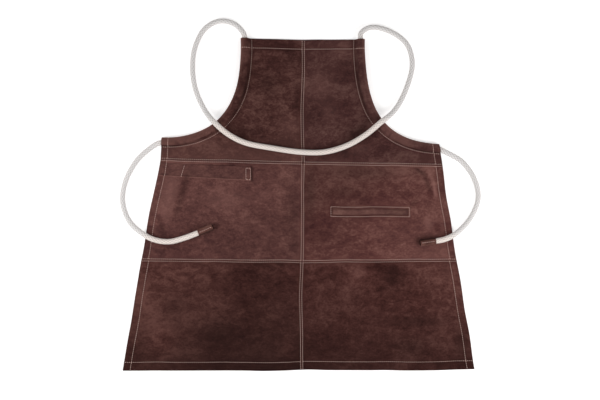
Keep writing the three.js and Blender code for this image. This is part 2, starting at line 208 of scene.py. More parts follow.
def smooth(t):
    """0 below 0 and 1 above 1, with a soft rise between."""
    t = np.clip(t, 0, 1)
    return t * t * (3 - 2 * t)


def hump(x, middle, width):
    """A soft hump, 1 in its middle and nearly 0 from two widths away."""
    return np.exp(-((x - middle) / width) ** 2)


def waves(x, y, size, seed):
    """Smooth uneven waves between 0 and 1, about one size long."""
    a = np.sin(x / size * 5.1 + seed + 1.3 * np.sin(y / size * 3.7 + 2 * seed))
    b = np.sin(y / size * 4.6 - seed + 1.1 * np.sin(x / size * 4.1 + 3 * seed))
    return 0.25 * (1 + a) * (1 + b)


def folds(x, y, rows):
    """Soft folds added up, each with its own height along its crest. The same sum lays painted light and
    shade along folds.
    """
    total = 0
    for (x0, y0), (x1, y1), width, height in rows:
        span = math.hypot(x1 - x0, y1 - y0)
        along = ((x - x0) * (x1 - x0) + (y - y0) * (y1 - y0)) / span ** 2
        across = ((x - x0) * (y1 - y0) - (y - y0) * (x1 - x0)) / span
        total = total + height * np.exp(-(across / width) ** 2 - ((along - 0.5) / 0.45) ** 4)
    return total


def lay(x, y):
    """How far the leather stands off the table: broad waves, and the folds near the side edges."""
    return 1.3 * waves(x, y, 560, 0.4) + 0.8 * waves(x, y, 170, 2.2) + folds(x, y, FOLDS)


def drift(x, y):
    """How far the leather lies out of its pattern, in plan. The hem sags between the seams, the sides
    swing out, and the centre seam bows to the left on the skirt and on the bib."""
    sag = 2.4 + 3.9 * hump(x, 290, 150) + 1.3 * hump(x, -76, 45) - 1.6 * hump(x, 14, 30)
    below_bib = smooth((170 - y) / 60)
    right = (3.1 + 0.8 * np.sin(y / 20 + 3.67)) * smooth((x - 190) / 140) * below_bib
    left = (0.5 + 2.1 * hump(y, -30, 75)) * smooth((-x - 180) / 120) * below_bib
    bow = (3.7 * hump(y, -217, 55) + 2 * hump(y, 210, 80)) * hump(x, 8, 70)
    ways = np.stack([right - (left + bow), -sag * hump(y, -375, 80)], -1)
    return ways + 1.2 * np.stack([waves(x, y, 130, 1.7) - 0.25, waves(x, y, 110, 4.3) - 0.25], -1)


def paler_and_darker_places(points, places):
    """Paler and darker places of a hide added up: the lie of its nap, and on the bib painted shadows of
    the rope.
    """
    x, y = points[..., 0], points[..., 1]
    return sum(depth * hump(x, px, wide) * hump(y, py, high) for px, py, wide, high, depth in places)


def held_up(distance, width):
    """1 over a turned strip of some width, falling to 0 in 26 mm, where the front lies on the table."""
    return 1 - smooth((distance - width - 1) / 26)


def stitch_dip(distance):
    """The dip, 0.26 mm deep, that a row of stitches pulls into the leather."""
    return 0.26 * hump(distance, 0, 1.9)


def unit(ways):
    """Directions made one long."""
    return ways / np.linalg.norm(ways, axis=-1, keepdims=True)


def line_distance(points, a, b):
    """Distance in plan of points from the line through two corners."""
    along = unit(b - a)
    return np.abs(along[0] * (points[..., 1] - a[1]) - along[1] * (points[..., 0] - a[0]))


def run_along(points):
    """How far along a line each of its points is."""
    return np.concatenate([[0], np.cumsum(np.linalg.norm(np.diff(points, axis=0), axis=1))])


def at_runs(s, run, values):
    """Values of a line's points, read between them at any runs along it."""
    return np.stack([np.interp(s, run, column) for column in values.T], -1)


def spread(span, counts, stops=()):
    """Distances across a sheet: close together at both edges, and in even steps between the stops."""
    marks = [NEAR[-1], *stops, span - NEAR[-1]]
    middle = [np.linspace(a, b, count, endpoint=False) for a, b, count in zip(marks, marks[1:], counts)]
    return np.concatenate([NEAR[:-1], *middle, (span - NEAR)[::-1]])


def with_tone_and_light(points, tone_and_painted_light=0.0):
    """Points with a value for the suede's colour, from -1, darkest, to 1, palest: the lie of their nap,
    the hide's places, and painted light and shade.
    """
    point_values = np.broadcast_to(np.asarray(tone_and_painted_light, float), points.shape[:-1])
    return np.concatenate([points, point_values[..., None]], -1)


def turn_under(edge, inside, width, start, end):
    """Lines of an edge turned under: half round the fold, then flat to the strip's cut end. start and
    end are how much shorter it is at its ends: the fold, the strip, and how far that is cut back."""
    edge = edge[:, :3]
    along = np.append((edge[-1] - edge[0])[:2], 0)
    span = np.linalg.norm(along)
    along /= span
    out = np.array([along[1], -along[0], 0])
    out *= -np.sign(out @ (inside[:3] - edge[0]))
    run = (edge - edge[0]) @ along

    def line(reach, down, first, last):
        """The edge moved out and down, and made shorter at both ends."""
        short = np.where(run < 2.5 * first, first + 0.6 * run, run)
        left = np.where(span - short < 2.5 * last, last + 0.6 * (span - short), span - short)
        left[0] = span - first
        left[-1] = last
        return edge + along * (span - left - run)[:, None] + out * reach - (0, 0, down)

    lines = [with_tone_and_light(edge)]
    # Painted light and shade on the rounds of the folds: paler where a seam's fold faces along y, darker
    # where it faces along x and on every hem.
    tone_with_painted_light = 0.3 * abs(out[1]) - 0.14 if width == SEAM_TURN else -0.1
    for a in np.radians(np.arange(22.5, 181, 22.5)):
        bend = line(FOLD * math.sin(a), FOLD * (1 - math.cos(a)), start[0], end[0])
        lines.append(with_tone_and_light(bend, tone_with_painted_light * math.sin(a)))
    for d in (0.1, 0.4, 0.7, 1):
        strip = line(-width * d, LAYER, start[1] + start[2] * d, end[1] + end[2] * d)
        lines.append(with_tone_and_light(strip))
    return np.array(lines)


def set_values(piece, name, values):
    """Gives a mesh a value at each point, for its material."""
    point_values = piece.data.attributes.new(name, "FLOAT", "POINT")
    point_values.data.foreach_set("value", np.asarray(values, np.float32))


def leather_sheet(name, patches, material, flip=False, hole=None):
    """Joins patches of a sheet's middle, lays them on the table and gives them their thickness. Also
    returns the flat area and, for stitches, each patch's outer face: points and the ways they face."""
    points = np.concatenate([p.reshape(-1, 4) for p in patches])
    pattern = points[:, :3].copy()
    points[:, :2] += drift(points[:, 0], points[:, 1])
    points[:, 2] += lay(points[:, 0], points[:, 1])
    # Painted light and shade along the folds.
    points[:, 3] += folds(points[:, 0], points[:, 1], FOLD_LIGHT_AND_SHADE)
    places = np.round(points[:, :3], 3)
    _, first, index = np.unique(places, axis=0, return_index=True, return_inverse=True)
    middle, tone_and_painted_light, index = points[first, :3], points[first, 3], index.ravel()
    ids, begin = [], 0
    for p in patches:
        ids.append(index[begin:begin + p.shape[0] * p.shape[1]].reshape(p.shape[:2]))
        begin += ids[-1].size
    cells = [np.stack([i[:-1, :-1], i[:-1, 1:], i[1:, 1:], i[1:, :-1]], -1) for i in ids]
    if hole:
        kept_cells = np.ones(cells[0].shape[:2], bool)
        kept_cells[hole] = False
        cells[0] = cells[0][kept_cells]
    quads = np.concatenate([c.reshape(-1, 4) for c in cells])
    quads = quads[:, ::-1] if flip else quads
    facing, flat = (np.cross(p[quads[:, 2]] - p[quads[:, 0]], p[quads[:, 3]] - p[quads[:, 1]])
                    for p in (middle, pattern[first]))
    normal = np.zeros_like(middle)
    for k in range(4):
        np.add.at(normal, quads[:, k], facing)
    normal /= np.maximum(np.linalg.norm(normal, axis=1), 1e-9)[:, None]
    count = len(middle)
    edges = np.concatenate([quads[:, [k, (k + 1) % 4]] for k in range(4)])
    rim = edges[~np.isin(edges[:, 0] * count + edges[:, 1], edges[:, 1] * count + edges[:, 0])]
    walls = np.concatenate([middle + normal * MID, middle - normal * MID])
    cut_edge = np.stack([rim[:, 1], rim[:, 0], rim[:, 0] + count, rim[:, 1] + count], -1)
    faces = np.concatenate([quads, quads[:, ::-1] + count, cut_edge])
    used, renumbered = np.unique(faces, return_inverse=True)
    piece = add_object(name, walls[used], renumbered.reshape(-1, 4), material)
    set_values(piece, "tone_and_painted_light", tone_and_painted_light[used % count])
    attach(piece, "root")
    area = float(np.linalg.norm(flat, axis=1).sum() / 2 * 1e-6)
    return piece, area, [np.concatenate([walls[i], normal[i]], -1) for i in ids]


def noise(tree, place, size, detail, **inputs):
    """Uneven noise with patches of about a size in millimetres."""
    inputs = {"Scale": 1 / (size * MM), "Detail": detail, **inputs}
    return add_node(tree, "TexNoise", inputs, {"Vector": place}), 0


def ranged(tree, source, *limits):
    """Maps a range of values, the first two limits, onto another, the last two."""
    return add_node(tree, "MapRange", dict(enumerate(limits, 1)), {0: source}), 0


def blend(tree, share, first, second):
    """Mixes two colours by a share. Each is a hex value, or a node and its output."""
    colours = {6: first, 7: second}
    fixed = {key: linear(colour) for key, colour in colours.items() if isinstance(colour, str)}
    linked = {key: colour for key, colour in colours.items() if key not in fixed}
    return add_node(tree, "Mix", fixed, {0: share, **linked}, data_type="RGBA"), 2


def relief(tree, height, strength, distance):
    """Fine bumps that stand up by a distance in millimetres."""
    inputs = {"Strength": strength, "Distance": distance * MM}
    return add_node(tree, "Bump", inputs, {"Height": height}), 0


def suede(name, dark, mean, light, shift):
    """Suede split leather: a brushed nap, so matt, cloudy where the nap lies one way or the other,
    with fine specks. A value at each point darkens or pales it: painted shade in creases, dips, recesses
    and on shaded sides, painted light on rims and folds, paler cut edges and the hide's own places."""
    material, tree = new_material(name)
    place = add_node(tree, "TexCoord"), "Object"
    cut = {"Location": shift, "Rotation": (0, 0, shift[0]), "Scale": (0.75, 1.15, 1)}
    hide = add_node(tree, "Mapping", cut, {0: place}), 0
    # Clouds of about 140 mm and patches of about 15 mm, from tanning and brushing.
    cloud = noise(tree, hide, 140, 3, Roughness=0.55, Distortion=0.8)
    patch = noise(tree, hide, 15, 3, Roughness=0.65, Distortion=0.5)
    # Nap tufts are about 0.4 mm wide. They are drawn 4 mm wide, so that they show in the render.
    tufts = noise(tree, hide, 4, 5, Roughness=0.82)
    tone = add_node(tree, "Math", {1: 0.33}, {0: cloud}, operation="MULTIPLY"), 0
    for marks, weight in ((patch, 0.31), (tufts, 0.36)):
        links = {0: marks, 2: tone}
        tone = add_node(tree, "Math", {1: weight}, links, operation="MULTIPLY_ADD"), 0
    ramp = add_node(tree, "ValToRGB", links={0: tone})
    ends = ramp.color_ramp.elements
    ends[0].position, ends[0].color = 0.39, linear(dark)
    ends[1].position, ends[1].color = 0.61, linear(light)
    ends.new(0.5).color = linear(mean)
    point_values = add_node(tree, "Attribute", attribute_name="tone_and_painted_light"), "Fac"
    # Below 0 the point's value darkens the colour towards near black, above 0 it pales it. Much of this
    # is painted light and shade; the rest is the hide's places and its paler cut edges.
    darkening = ranged(tree, point_values, 0.0, -1.0, 0.0, 0.85)
    paling = ranged(tree, point_values, 0.0, 1.0, 0.0, 0.85)
    darkened_colour = blend(tree, darkening, (ramp, 0), "#1C0D0B")
    colour = blend(tree, paling, darkened_colour, "#936860")
    rough = ranged(tree, patch, 0.3, 0.7, 0.84, 0.98)
    grain = add_node(tree, "Math", {1: 0.6}, {0: patch, 2: tufts}, operation="MULTIPLY_ADD"), 0
    add_shader(tree, {"IOR": 1.45, "Specular IOR Level": 0.1, "Sheen Weight": 0.05,
                      "Sheen Roughness": 0.5, "Sheen Tint": linear("#B08A80")},
               {"Base Color": colour, "Roughness": rough, "Normal": relief(tree, grain, 0.6, 1.2)})
    return material


# Bonded polyester thread: cream, a little waxy, with a fine twist, seen as a row of short dashes.
thread, tree = new_material("bonded_polyester_thread")
place = add_node(tree, "TexCoord"), "Object"
twist = noise(tree, place, 1.5, 1)
cream = blend(tree, twist, "#CDA497", "#F4D5C9")
add_shader(tree, {"Roughness": 0.5, "IOR": 1.5},
           {"Base Color": cream, "Normal": relief(tree, twist, 0.3, 0.2)})

STITCH_PITCH, NEEDLE_GAP, THREAD_RADIUS, THREAD_SIDES = 4.6, 1.7, 0.5, 6
# One stitch, from needle hole to needle hole: shares of its length, its height and its thickness.
STITCH_SHARES = np.array([0, 0.12, 0.32, 0.68, 0.88, 1])
STITCH_RISE = np.array([-0.3, 0.12, 0.3, 0.3, 0.12, -0.3])
STITCH_WIDTH = np.array([0.45, 0.9, 1, 1, 0.9, 0.45]) * THREAD_RADIUS


def sew(name, lines):
    """Rows of stitches along lines on the leather, each of points and the ways they face."""
    rings = []
    for line in lines:
        run = run_along(line[:, :3])
        count = max(1, round(run[-1] / STITCH_PITCH))
        pitch = run[-1] / count
        starts = np.arange(count)[:, None] * pitch + NEEDLE_GAP / 2
        s = (starts + STITCH_SHARES * (pitch - NEEDLE_GAP)).ravel()
        centre, up = np.split(at_runs(s, run, line).reshape(count, -1, 6), 2, axis=-1)
        along = centre[:, -1:] - centre[:, :1]
        across = unit(np.cross(along, up))
        lean = 0.3 * np.sin(5.3 * np.arange(count))[:, None] * (STITCH_SHARES - 0.5)
        centre = centre + up * STITCH_RISE[:, None] + across * lean[..., None]
        angle = 2 * np.pi * np.arange(THREAD_SIDES) / THREAD_SIDES
        around = across[:, :, None] * np.cos(angle)[:, None] + up[:, :, None] * np.sin(angle)[:, None]
        rings.append((centre[:, :, None] + around * STITCH_WIDTH[:, None, None]).reshape(-1, 3))
    points = np.concatenate(rings)
    per_stitch = len(STITCH_SHARES) * THREAD_SIDES
    faces = []
    for base in range(0, len(points), per_stitch):
        last = base + per_stitch - 1
        for k in range(base, base + per_stitch - THREAD_SIDES):
            beside = k - k % THREAD_SIDES + (k + 1) % THREAD_SIDES
            faces.append((beside, k, k + THREAD_SIDES, beside + THREAD_SIDES))
        faces.append(range(base, base + THREAD_SIDES))
        faces.append(range(last, last - THREAD_SIDES, -1))
    piece = add_object(name, points, faces, thread, sharp=80)
    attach(piece, "root")
    return piece


def armhole(side):
    """Length of an armhole's edge, and its point and way into the leather at any run along it."""
    a, b, c, d = (np.array(p, float) for p in ARMHOLE[side])
    t = np.linspace(0, 1, 2001)[:, None]
    curve = (1 - t) ** 3 * a + 3 * (1 - t) ** 2 * t * b + 3 * (1 - t) * t * t * c + t ** 3 * d
    run = run_along(curve)
    heading = unit(np.gradient(curve, axis=0))
    inward = np.stack([-heading[:, 1], heading[:, 0]], -1) * (-1 if side == "left" else 1)
    # Towards both ends the way in turns, until it follows the side edge and the bib's top edge.
    ends = (a, corner_of("waist", side), run), (d, corner_of("top", "centre"), run[-1] - run)
    for corner, toward, away in ends:
        turned = np.clip(1 - away / run[-1] / 0.3, 0, 1) ** 2
        inward += (unit(toward - corner) - inward) * turned[:, None]
    inward = unit(inward)

    def at(s):
        return at_runs(s, run, curve), at_runs(s, run, inward)

    return run[-1], at


def casing_patch(side, length, runs, edge, inward):
    """A casing, at runs along the armhole: from its stitches over the rope, round and back under."""
    angles = np.radians(np.arange(50, 251, 10))
    depth = np.concatenate([[CASING_WIDTH, 21, 20, 19, 18, 17],
                            OVAL_INSET + OVAL_HALF_WIDTH * np.cos(angles),
                            [15, CASING_WIDTH, CASING_WIDTH + CASING_TURN]])
    height = np.concatenate([[MID + LAYER, 2.9, 4.3, 6.4, 8.9, 11.5],
                             np.maximum(OVAL_Z + OVAL_HALF_HEIGHT * np.sin(angles), MID), [MID] * 3])
    pucker = np.sin(runs / 2.9 + 1.7 * np.sin(runs / 9.1)) * np.sin(runs / 23) ** 2
    bulge = hump(depth, 15, 5) * (height > 3)
    casing = np.zeros((len(runs), len(depth), 4))
    casing[..., :2] = edge[:, None] + inward[:, None] * depth[:, None]
    casing[..., 2] = height + 0.7 * pucker[:, None] * bulge

    # A painted highlight runs along the rim and the outer slope is painted paler. Painted shade lies in
    # the puckers' hollows and in the crease by the stitches, and the left casing has a painted dark
    # buckle too.
    seen = height > 2
    broad = np.interp(runs / length, *np.transpose(CASING_NAP[side]))
    tone_and_painted_light = 0.08 + 0.25 * hump(depth, 0.7, 0.9) + (0.2 * smooth((9 - depth) / 6) + broad[:, None]) * seen
    if side == "left":
        tone_and_painted_light -= 0.45 * hump(runs / length, 0.28, 0.08)[:, None] * hump(depth, 16.8, 1.4) * seen
    crease_shade = 0.36 + 0.34 * np.sin(runs / 31 + 0.8) - 0.12 * pucker
    tone_and_painted_light -= crease_shade[:, None] * hump(depth, 19.8, 1.9) * seen
    casing[..., 3] = tone_and_painted_light - 0.22 * np.maximum(-pucker, 0)[:, None] * bulge
    return casing


def bib_rows(side, stitch):
    """The flat part of a half, in rows from the waist up. Their outer ends go up the side edge and then
    along the casing's stitches. Also returns how many rows end on the side edge."""
    way = -1 if side == "left" else 1
    low, low_side = corner_of("waist", "centre"), corner_of("waist", side)
    high, high_side = corner_of("top", "centre"), corner_of("top", side)
    corner = low_side + (-way * REACH, REACH)
    side_run = np.linalg.norm(stitch[0] - corner)
    steps = np.concatenate([NEAR[:SIDE_LINE + 1], [17, 20.5, 24]])
    first = len(steps)
    outer = np.concatenate([corner + (stitch[0] - corner) * steps[:, None] / side_run, stitch])
    rise = line_distance(outer, low, low_side) - REACH
    # Up to the casing, rows are a little closer together at the centre seam than at the side.
    closer = 0.92
    knee = closer * rise[first]
    higher = knee + (rise - rise[first]) * (rise[-1] - knee) / (rise[-1] - rise[first])
    share = np.where(rise < rise[first], closer * rise, higher)
    start, end = low + (way * REACH, REACH), high + (way * REACH, -REACH)
    inner = start + (end - start) * (share / rise[-1])[:, None]
    main = []
    for k, (p, q) in enumerate(zip(inner, outer)):
        span = np.linalg.norm(q - p)
        x = spread(span, (46,))
        row = np.zeros((len(x), 4))
        row[:, :2] = p + (q - p) * (x / span)[:, None]
        row[-1, :2] = q
        below = line_distance(row, low, low_side) - REACH
        above = line_distance(row, high, high_side) - REACH
        strip = SIDE_HEM + (CASING_TURN - SIDE_HEM) * smooth((k - first) / 8)
        over = [held_up(x, SEAM_TURN), held_up(span - x, strip), held_up(below, SEAM_TURN),
                held_up(above, TOP_HEM)]
        dip = np.max([stitch_dip(x - NEAR[SEAM_LINE]), stitch_dip(below - NEAR[SEAM_LINE]),
                      stitch_dip(above - TOP_STITCH + REACH)], axis=0)
        row[:, 2] = MID + LAYER * np.max(over, axis=0) - dip
        # Paler along the waist, painted shade in the stitch dips, then the hide's places with the rope's
        # painted shadows.
        row[:, 3] = LOW_NAP[side] * (1 - smooth(below / 90)) - DIP_SHADE * dip
        row[:, 3] += paler_and_darker_places(row, BIB_PLACES_AND_SHADOWS[side])
        row[[0, -1], 2] = MID + LAYER
        main.append(row)
    main = np.array(main)
    main[[0, -1], :, 2] = MID + LAYER
    return main, first


def bib_half(side, hide):
    """One half of the bib, with its turned edges and casing, and its stitches."""
    length, at = armhole(side)
    ends = [0, MOUTH_STITCH, length - TOP_STITCH, length]
    runs = np.unique(np.concatenate([ends, np.linspace(REACH, length - REACH, 88)]))
    casing = casing_patch(side, length, runs, *at(runs))
    main, first = bib_rows(side, casing[1:-1, 0, :2])

    inside = main[len(main) // 2, main.shape[1] // 2]
    at_seam, at_casing = (0, CORNER, SEAM_TURN), (CORNER, CORNER + CASING_TURN, 0)
    past_seam, past_top = (PAST, CORNER, SEAM_TURN), (PAST, CORNER, TOP_HEM)
    centre_turn = turn_under(main[:, 0], inside, SEAM_TURN, past_seam, past_top)
    waist_turn = turn_under(main[0], inside, SEAM_TURN, at_seam, (0, CORNER, SIDE_HEM))
    top_turn = turn_under(main[-1], inside, TOP_HEM, at_seam, at_casing)
    side_turn = turn_under(main[:first + 1, -1], inside, SIDE_HEM, past_seam, at_casing)
    patches = [main, casing, centre_turn[::-1].transpose(1, 0, 2), waist_turn[::-1], top_turn,
               side_turn.transpose(1, 0, 2)]
    piece, area, faces = leather_sheet("bib_%s_suede" % side, patches, hide, flip=side == "left")
    front, tube = faces[:2]

    hem_row, mouth_row = (np.argmin(np.abs(runs - s)) for s in (length - TOP_STITCH, MOUTH_STITCH))
    over_casing = slice(1, 19)  # the part of a casing's profile that shows
    # Beside the casing the stitches start at its edge, and lie a little farther in from mid way up.
    farther = smooth((runs[1:-1, None] / length - 0.3) / 0.3)
    sew("bib_%s_stitches" % side, [
        front[1:, SEAM_LINE],
        front[SEAM_LINE],
        front[first + hem_row - 1],
        tube[hem_row, over_casing],
        front[first:, -2] * (1 - farther) + front[first:, -4] * farther,
        front[:first, -1 - SIDE_LINE],
        tube[mouth_row, over_casing],
    ])
    return piece, area


BIB_BROWN = {"left": ("#2B1614", "#442724", "#64443E"), "right": ("#311B1B", "#472A28", "#62443F")}
for side, shift in (("left", 0.3), ("right", 2.1)):
    hide = suede("bib_%s_suede_split" % side, *BIB_BROWN[side], (shift, 0.7, 0.2))
    piece, area = bib_half(side, hide)
    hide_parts("bib_" + side)

# The waist and skirt panels: the same suede, four-sided, wider towards the hem.
# Their seams are turned under, pressed open and stitched down on both sides, and the outer edges
# are hemmed. A window for the pocket is cut in the right waist panel.
WAIST_BROWN = {"left": ("#442827", "#603D39", "#7D564F"), "right": ("#422223", "#5D3834", "#7B544D")}
SKIRT_BROWN = {"left": ("#301614", "#4A2B27", "#65423C"), "right": ("#331815", "#4E2D29", "#6A4640")}
# Painted light falloff: how much paler a hide is painted at the outer edge, and darker at the centre
# seam and towards the bottom.
WAIST_LIGHT_FALLOFF = {"left": (0.18, 0.1, 0.14), "right": (0.06, 0.4, -0.22)}
SKIRT_LIGHT_FALLOFF = {"left": (0.02, 0.3, 0.68), "right": (0.0, 0.18, 0.6)}
PANEL_PLACES = {
    "waist_left": [(-159, 8, 50, 26, 0.3), (-74, 19, 36, 26, 0.18), (-12, -25, 18, 75, -0.22)],
    "waist_right": [(165, 72, 85, 18, -0.35), (26, 20, 14, 55, -0.32), (107, 30, 26, 12, -0.15),
        (164, -60, 62, 30, 0.2), (188, 12, 26, 18, 0.17), (61, -34, 22, 20, 0.17),
        (269, 72, 18, 12, -0.2), (350, -112, 10, 18, -0.4)],
    "skirt_left": [(-176, -290, 62, 32, -0.28), (-278, -230, 26, 26, -0.25), (-312, -309, 30, 36, 0.35),
        (-346, -230, 20, 40, 0.1), (-8, -152, 22, 16, 0.34), (-23, -332, 20, 30, 0.22)],
    "skirt_right": [(135, -156, 26, 26, 0.32), (215, -163, 26, 30, -0.45), (266, -264, 62, 13, -0.35),
        (338, -165, 24, 34, 0.12), (368, -308, 18, 36, -0.3), (255, -318, 34, 18, -0.24)],
}
# The window, how far off it its stitches are, the pouch behind it, and on the left panel the width
# that the strap holds up and the line of its sewn end.
WINDOW_X, WINDOW_Y, WINDOW_STITCH = (77.6, 247.6), (-24.9, -10.2), 3.4
BAG_X, BAG_Y = (68, 257), (-95, 8)
STRAP_ROOM, STRAP_END = 46, ((-108, -106), (53, 84))


def inset_quad(corners, inset):
    """A four-sided outline moved in by a distance."""
    moved = []
    for before, here, after in zip(corners[-1:] + corners, corners, corners[1:] + corners[:1]):
        a, b = unit(here - before), unit(after - here)
        moved.append(here + (b - a) * inset / (a[0] * b[1] - a[1] * b[0]))
    return moved


def box_distance(points, x, y):
    """Distance in plan of points from a rectangle, 0 inside it."""
    dx = np.maximum(np.maximum(x[0] - points[..., 0], points[..., 0] - x[1]), 0)
    dy = np.maximum(np.maximum(y[0] - points[..., 1], points[..., 1] - y[1]), 0)
    return np.hypot(dx, dy)


def panel(name, low, high, side, hide, broad, top_room=SEAM_TURN, pocket=False):
    """A waist or skirt panel between two levels of the pattern, and its stitches. Its sides are
    counted from the bottom round by the right. top_room is how wide its top is held up."""
    near, far = ("left", "centre") if side == "left" else ("centre", "right")
    corners = [corner_of(*end) for end in ((low, near), (low, far), (high, far), (high, near))]
    p, q, r, s = inset_quad(corners, REACH)
    around = [(p, q), (q, r), (r, s), (s, p)]
    outside = 3 if side == "left" else 1
    turns = [BOTTOM_HEM if low == "hem" else SEAM_TURN, SEAM_TURN, SEAM_TURN, SEAM_TURN]
    turns[outside] = SIDE_HEM
    rooms = [turns[0], turns[1], top_room, turns[3]]
    side_line = SKIRT_LINE if low == "hem" else SIDE_LINE
    line_of = {SEAM_TURN: SEAM_LINE, SIDE_HEM: side_line, BOTTOM_HEM: HEM_LINE}
    stitch_lines = [line_of[turn] for turn in turns]
    row_stops, column_stops, counts = [], [], ((42,), (66,))
    if pocket:
        row_stops, column_stops = ([a - 10, a - WINDOW_STITCH, a, b, b + WINDOW_STITCH, b + 10]
                                   for a, b in (WINDOW_Y, WINDOW_X))
        counts = (16, 2, 2, 4, 2, 2, 15), (8, 2, 2, 40, 2, 2, 13)
    span = np.linalg.norm((s + r - p - q) / 2)
    paler, darker, lower = broad
    main = []
    for t in spread(span, counts[0], [y - (p + q)[1] / 2 for y in row_stops]) / span:
        a, b = p + (s - p) * t, q + (r - q) * t
        width = np.linalg.norm(b - a)
        x = spread(width, counts[1], [stop - a[0] for stop in column_stops])
        row = np.zeros((len(x), 4))
        row[:, :2] = a + (b - a) * (x / width)[:, None]
        off = [line_distance(row, c, d) for c, d in around]
        over = [held_up(distance, room) for distance, room in zip(off, rooms)]
        dips = [stitch_dip(distance - NEAR[line]) for distance, line in zip(off, stitch_lines)]
        if pocket:
            over.append(2 * held_up(box_distance(row, BAG_X, BAG_Y), 2))
            window = box_distance(row, WINDOW_X, WINDOW_Y)
            dips += [stitch_dip(window - WINDOW_STITCH), 0.25 * hump(window, 0, 1.6)]
        dip = np.max(dips, axis=0)
        row[:, 2] = MID + LAYER * np.max(over, axis=0) - dip
        # Painted light falloff: paler towards the outer edge, darker towards the centre seam and towards
        # the bottom. Then painted shade in the stitch dips and at the window's edge, and the hide's
        # places.
        outer = off[outside] / width
        row[:, 3] = paler * (1 - outer) ** 3 - darker * smooth(outer / 0.9)
        row[:, 3] += paler_and_darker_places(row, PANEL_PLACES[name]) - lower * (off[2] / span) ** 1.5 - DIP_SHADE * dip
        # The waist's side hem is dark, and the leather at the strap's sewn end carries a painted shadow
        # of the strap.
        if low == "skirt":
            row[:, 3] -= 0.24 * (1 - smooth((off[outside] - 9) / 5))
        if top_room == STRAP_ROOM:
            row[:, 3] -= 0.8 * hump(box_distance(row, *STRAP_END), 0, 2.4)
        row[[0, -1], 2] = MID + LAYER
        main.append(row)
    main = np.array(main)
    main[[0, -1], :, 2] = MID + LAYER

    def cut(k, fold=0):
        """How a turned strip ends against the strip of side k."""
        return fold, CORNER, turns[k]

    inside = main[len(main) // 2, main.shape[1] // 2]
    bottom_turn = turn_under(main[0], inside, turns[0], cut(3), cut(1))
    right_turn = turn_under(main[:, -1], inside, turns[1], cut(0, PAST), cut(2, PAST))
    top_turn = turn_under(main[-1], inside, turns[2], cut(3), cut(1))
    left_turn = turn_under(main[:, 0], inside, turns[3], cut(0, PAST), cut(2, PAST))
    patches = [main, bottom_turn[::-1], top_turn, right_turn.transpose(1, 0, 2),
               left_turn[::-1].transpose(1, 0, 2)]
    hole = None
    if pocket:
        starts = [len(NEAR) - 1 + sum(count[:3]) for count in counts]
        hole = tuple(slice(start, start + count[3]) for start, count in zip(starts, counts))
    piece, area, faces = leather_sheet(name + "_suede", patches, hide, hole=hole)
    front = faces[0]

    low_line, right_line, top_line, left_line = stitch_lines
    lines = [front[low_line], front[-1 - top_line], front[:, left_line], front[:, -1 - right_line]]
    if pocket:
        below, above = hole[0].start - 2, hole[0].stop + 2
        left, right = hole[1].start - 2, hole[1].stop + 2
        across, upward = slice(left, right + 1), slice(below, above + 1)
        lines += [front[below, across], front[above, across], front[upward, left], front[upward, right]]
    sew(name + "_stitches", lines)
    return piece, area


for side, shift in (("left", 4.2), ("right", 5.6)):
    hide = suede("waist_%s_suede_split" % side, *WAIST_BROWN[side], (shift, 0.4, 0.6))
    top_room = STRAP_ROOM if side == "left" else SEAM_TURN
    piece, area = panel("waist_" + side, "skirt", "waist", side, hide, WAIST_LIGHT_FALLOFF[side], top_room,
                        pocket=side == "right")
    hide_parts("waist_" + side)
    hide = suede("skirt_%s_suede_split" % side, *SKIRT_BROWN[side], (shift + 2.3, 1.4, 0.1))
    piece, area = panel("skirt_" + side, "hem", "skirt", side, hide, SKIRT_LIGHT_FALLOFF[side])
    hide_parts("skirt_" + side)

# The pocket: a welt strip of suede shows in the window, a little below its top edge, which leaves
# the opening. The pouch behind it is one strip, folded up at its bottom. Both are sewn in by the
# rectangle of stitches around the window.
WELT_X, WELT_Y = (70, 255), (-33, -12.5)
POUCH_FRONT = -36
trim = suede("trim_suede_split", "#4B2F2D", "#62413C", "#7B5950", (7.7, 0.2, 0.9))
x, y = np.meshgrid(np.linspace(*WELT_X, 84), np.linspace(*WELT_Y, 16))
roll = smooth((y - WELT_Y[1] + 4) / 4)
in_window = np.min([x - WINDOW_X[0], WINDOW_X[1] - x, y - WINDOW_Y[0], WELT_Y[1] - y], axis=0)
# Painted shade along the window's edge, where the welt lies below the panel; the welt's right end is
# darker.
tone_with_painted_light = 0.12 - 0.2 * hump(in_window, 0, 1.6) - 0.22 * smooth((x - 190) / 14)
welt = with_tone_and_light(np.stack([x, y, MID + LAYER - 0.7 * roll], -1), tone_with_painted_light)
piece, area, _ = leather_sheet("pocket_welt_suede", [welt], trim)
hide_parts("pocket_welt")

x, y = np.meshgrid(np.linspace(*BAG_X, 48), np.linspace(BAG_Y[0], POUCH_FRONT, 18))
pouch = with_tone_and_light(np.stack([x, y, np.full_like(x, MID + LAYER)], -1))
fold_up = turn_under(pouch[0], pouch[9, 20], BAG_Y[1] - BAG_Y[0], (0, 0, 0), (0, 0, 0))
piece, area, _ = leather_sheet("pocket_bag_suede", [pouch, fold_up[::-1]], trim)
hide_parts("pocket_bag")

# The hip strap: a strip of suede with cut edges, laid flat under the left waist seam to hang a
# cloth on. It is caught in the side edge, sewn across once, and ends in a sewn box.
STRAP_LEFT = np.array([(-316.3, 64), (-311.6, 92)])
STRAP_RIGHT = np.array([(-107, 53), (-107, 84)])
STRAP_ARCH = 1.5
